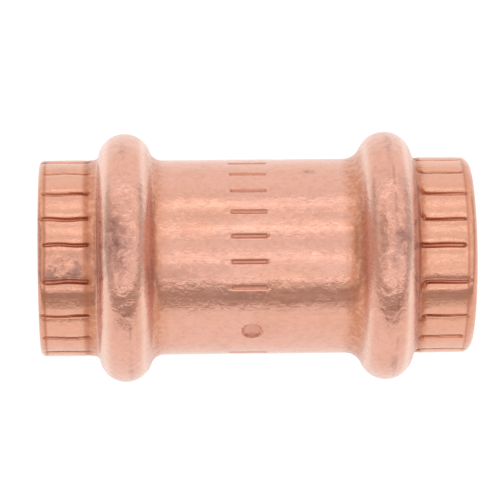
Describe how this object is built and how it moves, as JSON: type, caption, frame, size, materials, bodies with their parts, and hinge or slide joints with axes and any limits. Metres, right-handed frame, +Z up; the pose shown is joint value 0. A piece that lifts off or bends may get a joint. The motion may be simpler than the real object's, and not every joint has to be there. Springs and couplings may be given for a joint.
{
  "type": "press-fit tube coupling",
  "caption": "Straight press coupling for copper water tube, with grooved collars, rounded seal beads and rubber seal rings inside.",
  "frame": {"origin": "on the tube axis at mid-length", "axes": "+X along the tube axis towards the right socket, +Z up with the coupling lying on its beads"},
  "size_m": [0.0406, 0.0234, 0.0234],
  "materials": {
    "copper": "drawn copper, satin, lightly tarnished in the valleys",
    "seal_rubber": "smooth moulded black rubber"
  },
  "bodies": {
    "root": {"coupling_body": "copper", "left_seal_ring": "seal_rubber", "right_seal_ring": "seal_rubber"}
  },
  "joints": []
}
